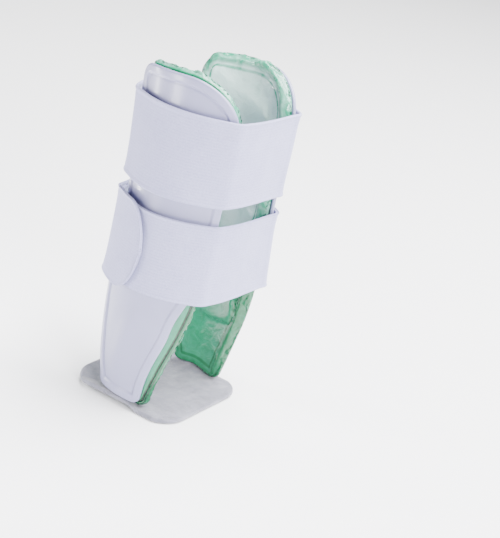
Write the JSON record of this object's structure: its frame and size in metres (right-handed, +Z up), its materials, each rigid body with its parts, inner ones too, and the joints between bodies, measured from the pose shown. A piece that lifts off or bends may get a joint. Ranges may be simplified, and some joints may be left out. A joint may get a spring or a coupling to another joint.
{
  "type": "stirrup ankle brace",
  "caption": "Upright ankle brace with side shells, film cushions inside them, wrap straps and a pad under the heel.",
  "frame": {"origin": "on the floor, under the middle of the heel", "axes": "+X towards the toes, +Y towards the inner side of the right foot, +Z up along the leg"},
  "size_m": [0.0914, 0.1016, 0.2265],
  "materials": {
    "shell": "moulded white plastic with a soft gloss",
    "liner": "clear green film over a soft filling, wet-looking gloss",
    "strap": "white brushed loop tape with fine ribs",
    "heel_pad": "grey brushed fabric over thin foam"
  },
  "bodies": {
    "root": {"shell_outer": "shell", "shell_inner": "shell", "liner_outer": "liner", "liner_inner": "liner", "strap_upper": "strap", "strap_lower": "strap", "heel_pad": "heel_pad"}
  },
  "joints": []
}
